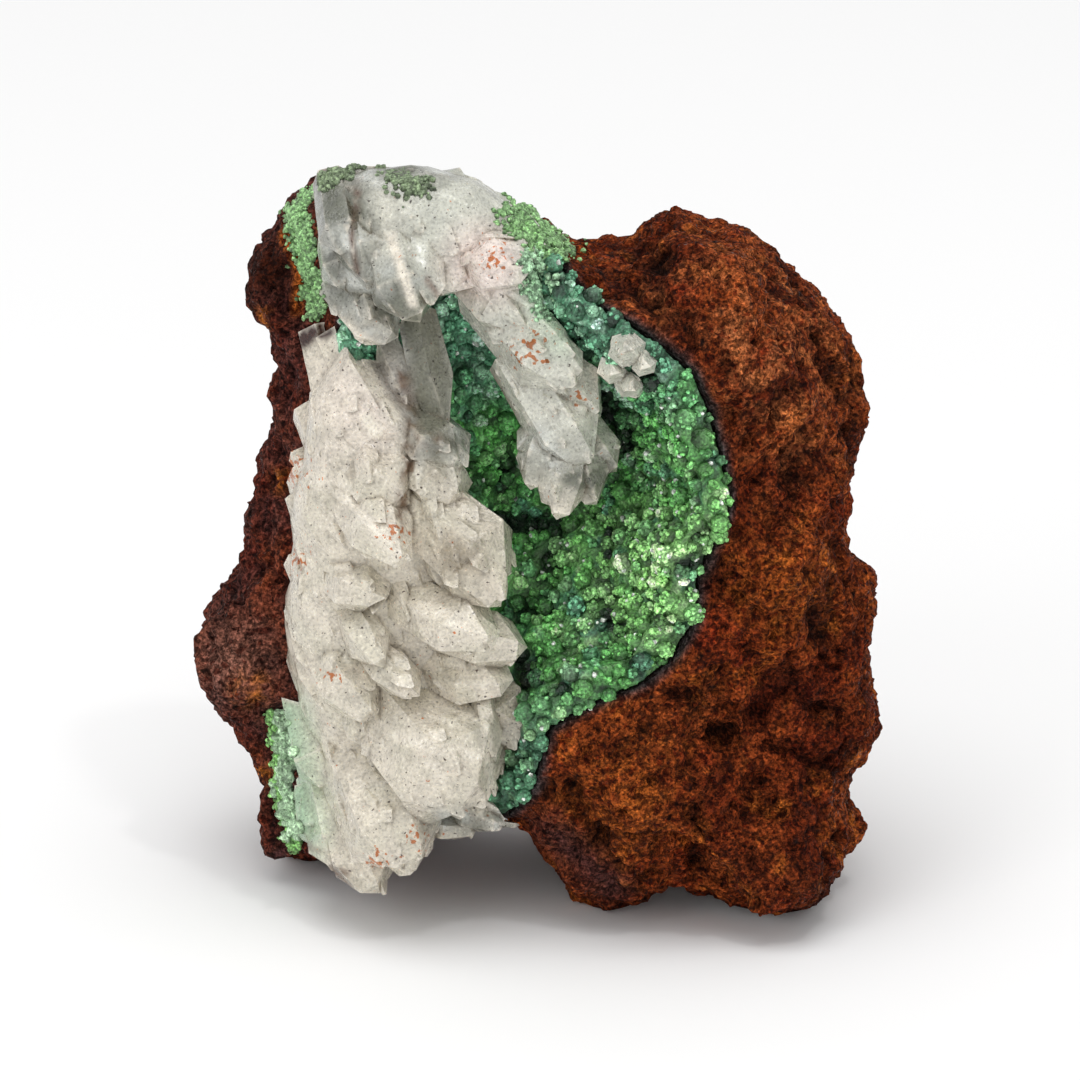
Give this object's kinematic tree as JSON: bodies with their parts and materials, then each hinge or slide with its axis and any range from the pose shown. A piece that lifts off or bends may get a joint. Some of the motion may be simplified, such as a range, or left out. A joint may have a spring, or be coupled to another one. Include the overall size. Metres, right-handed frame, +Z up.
{
  "type": "mineral specimen",
  "caption": "Upright block of brown limonite with a hollow lined in green botryoidal conichalcite and grown over with pale calcite crystals.",
  "frame": {"origin": "middle of the bounding box, on the surface the specimen stands on", "axes": "+Z up, -Y towards the viewer of the hollow, +X to that viewer's right"},
  "size_m": [0.0696, 0.047, 0.0787],
  "materials": {
    "limonite": "rough, earthy",
    "conichalcite": "sparkling crust of rounded grains",
    "calcite": "translucent, slightly glossy",
    "calcite_white": "translucent, slightly glossy"
  },
  "bodies": {
    "root": {"limonite_matrix": "limonite", "conichalcite_crust": "conichalcite", "calcite_crystals": "calcite", "calcite_cluster": "calcite_white"}
  },
  "joints": []
}
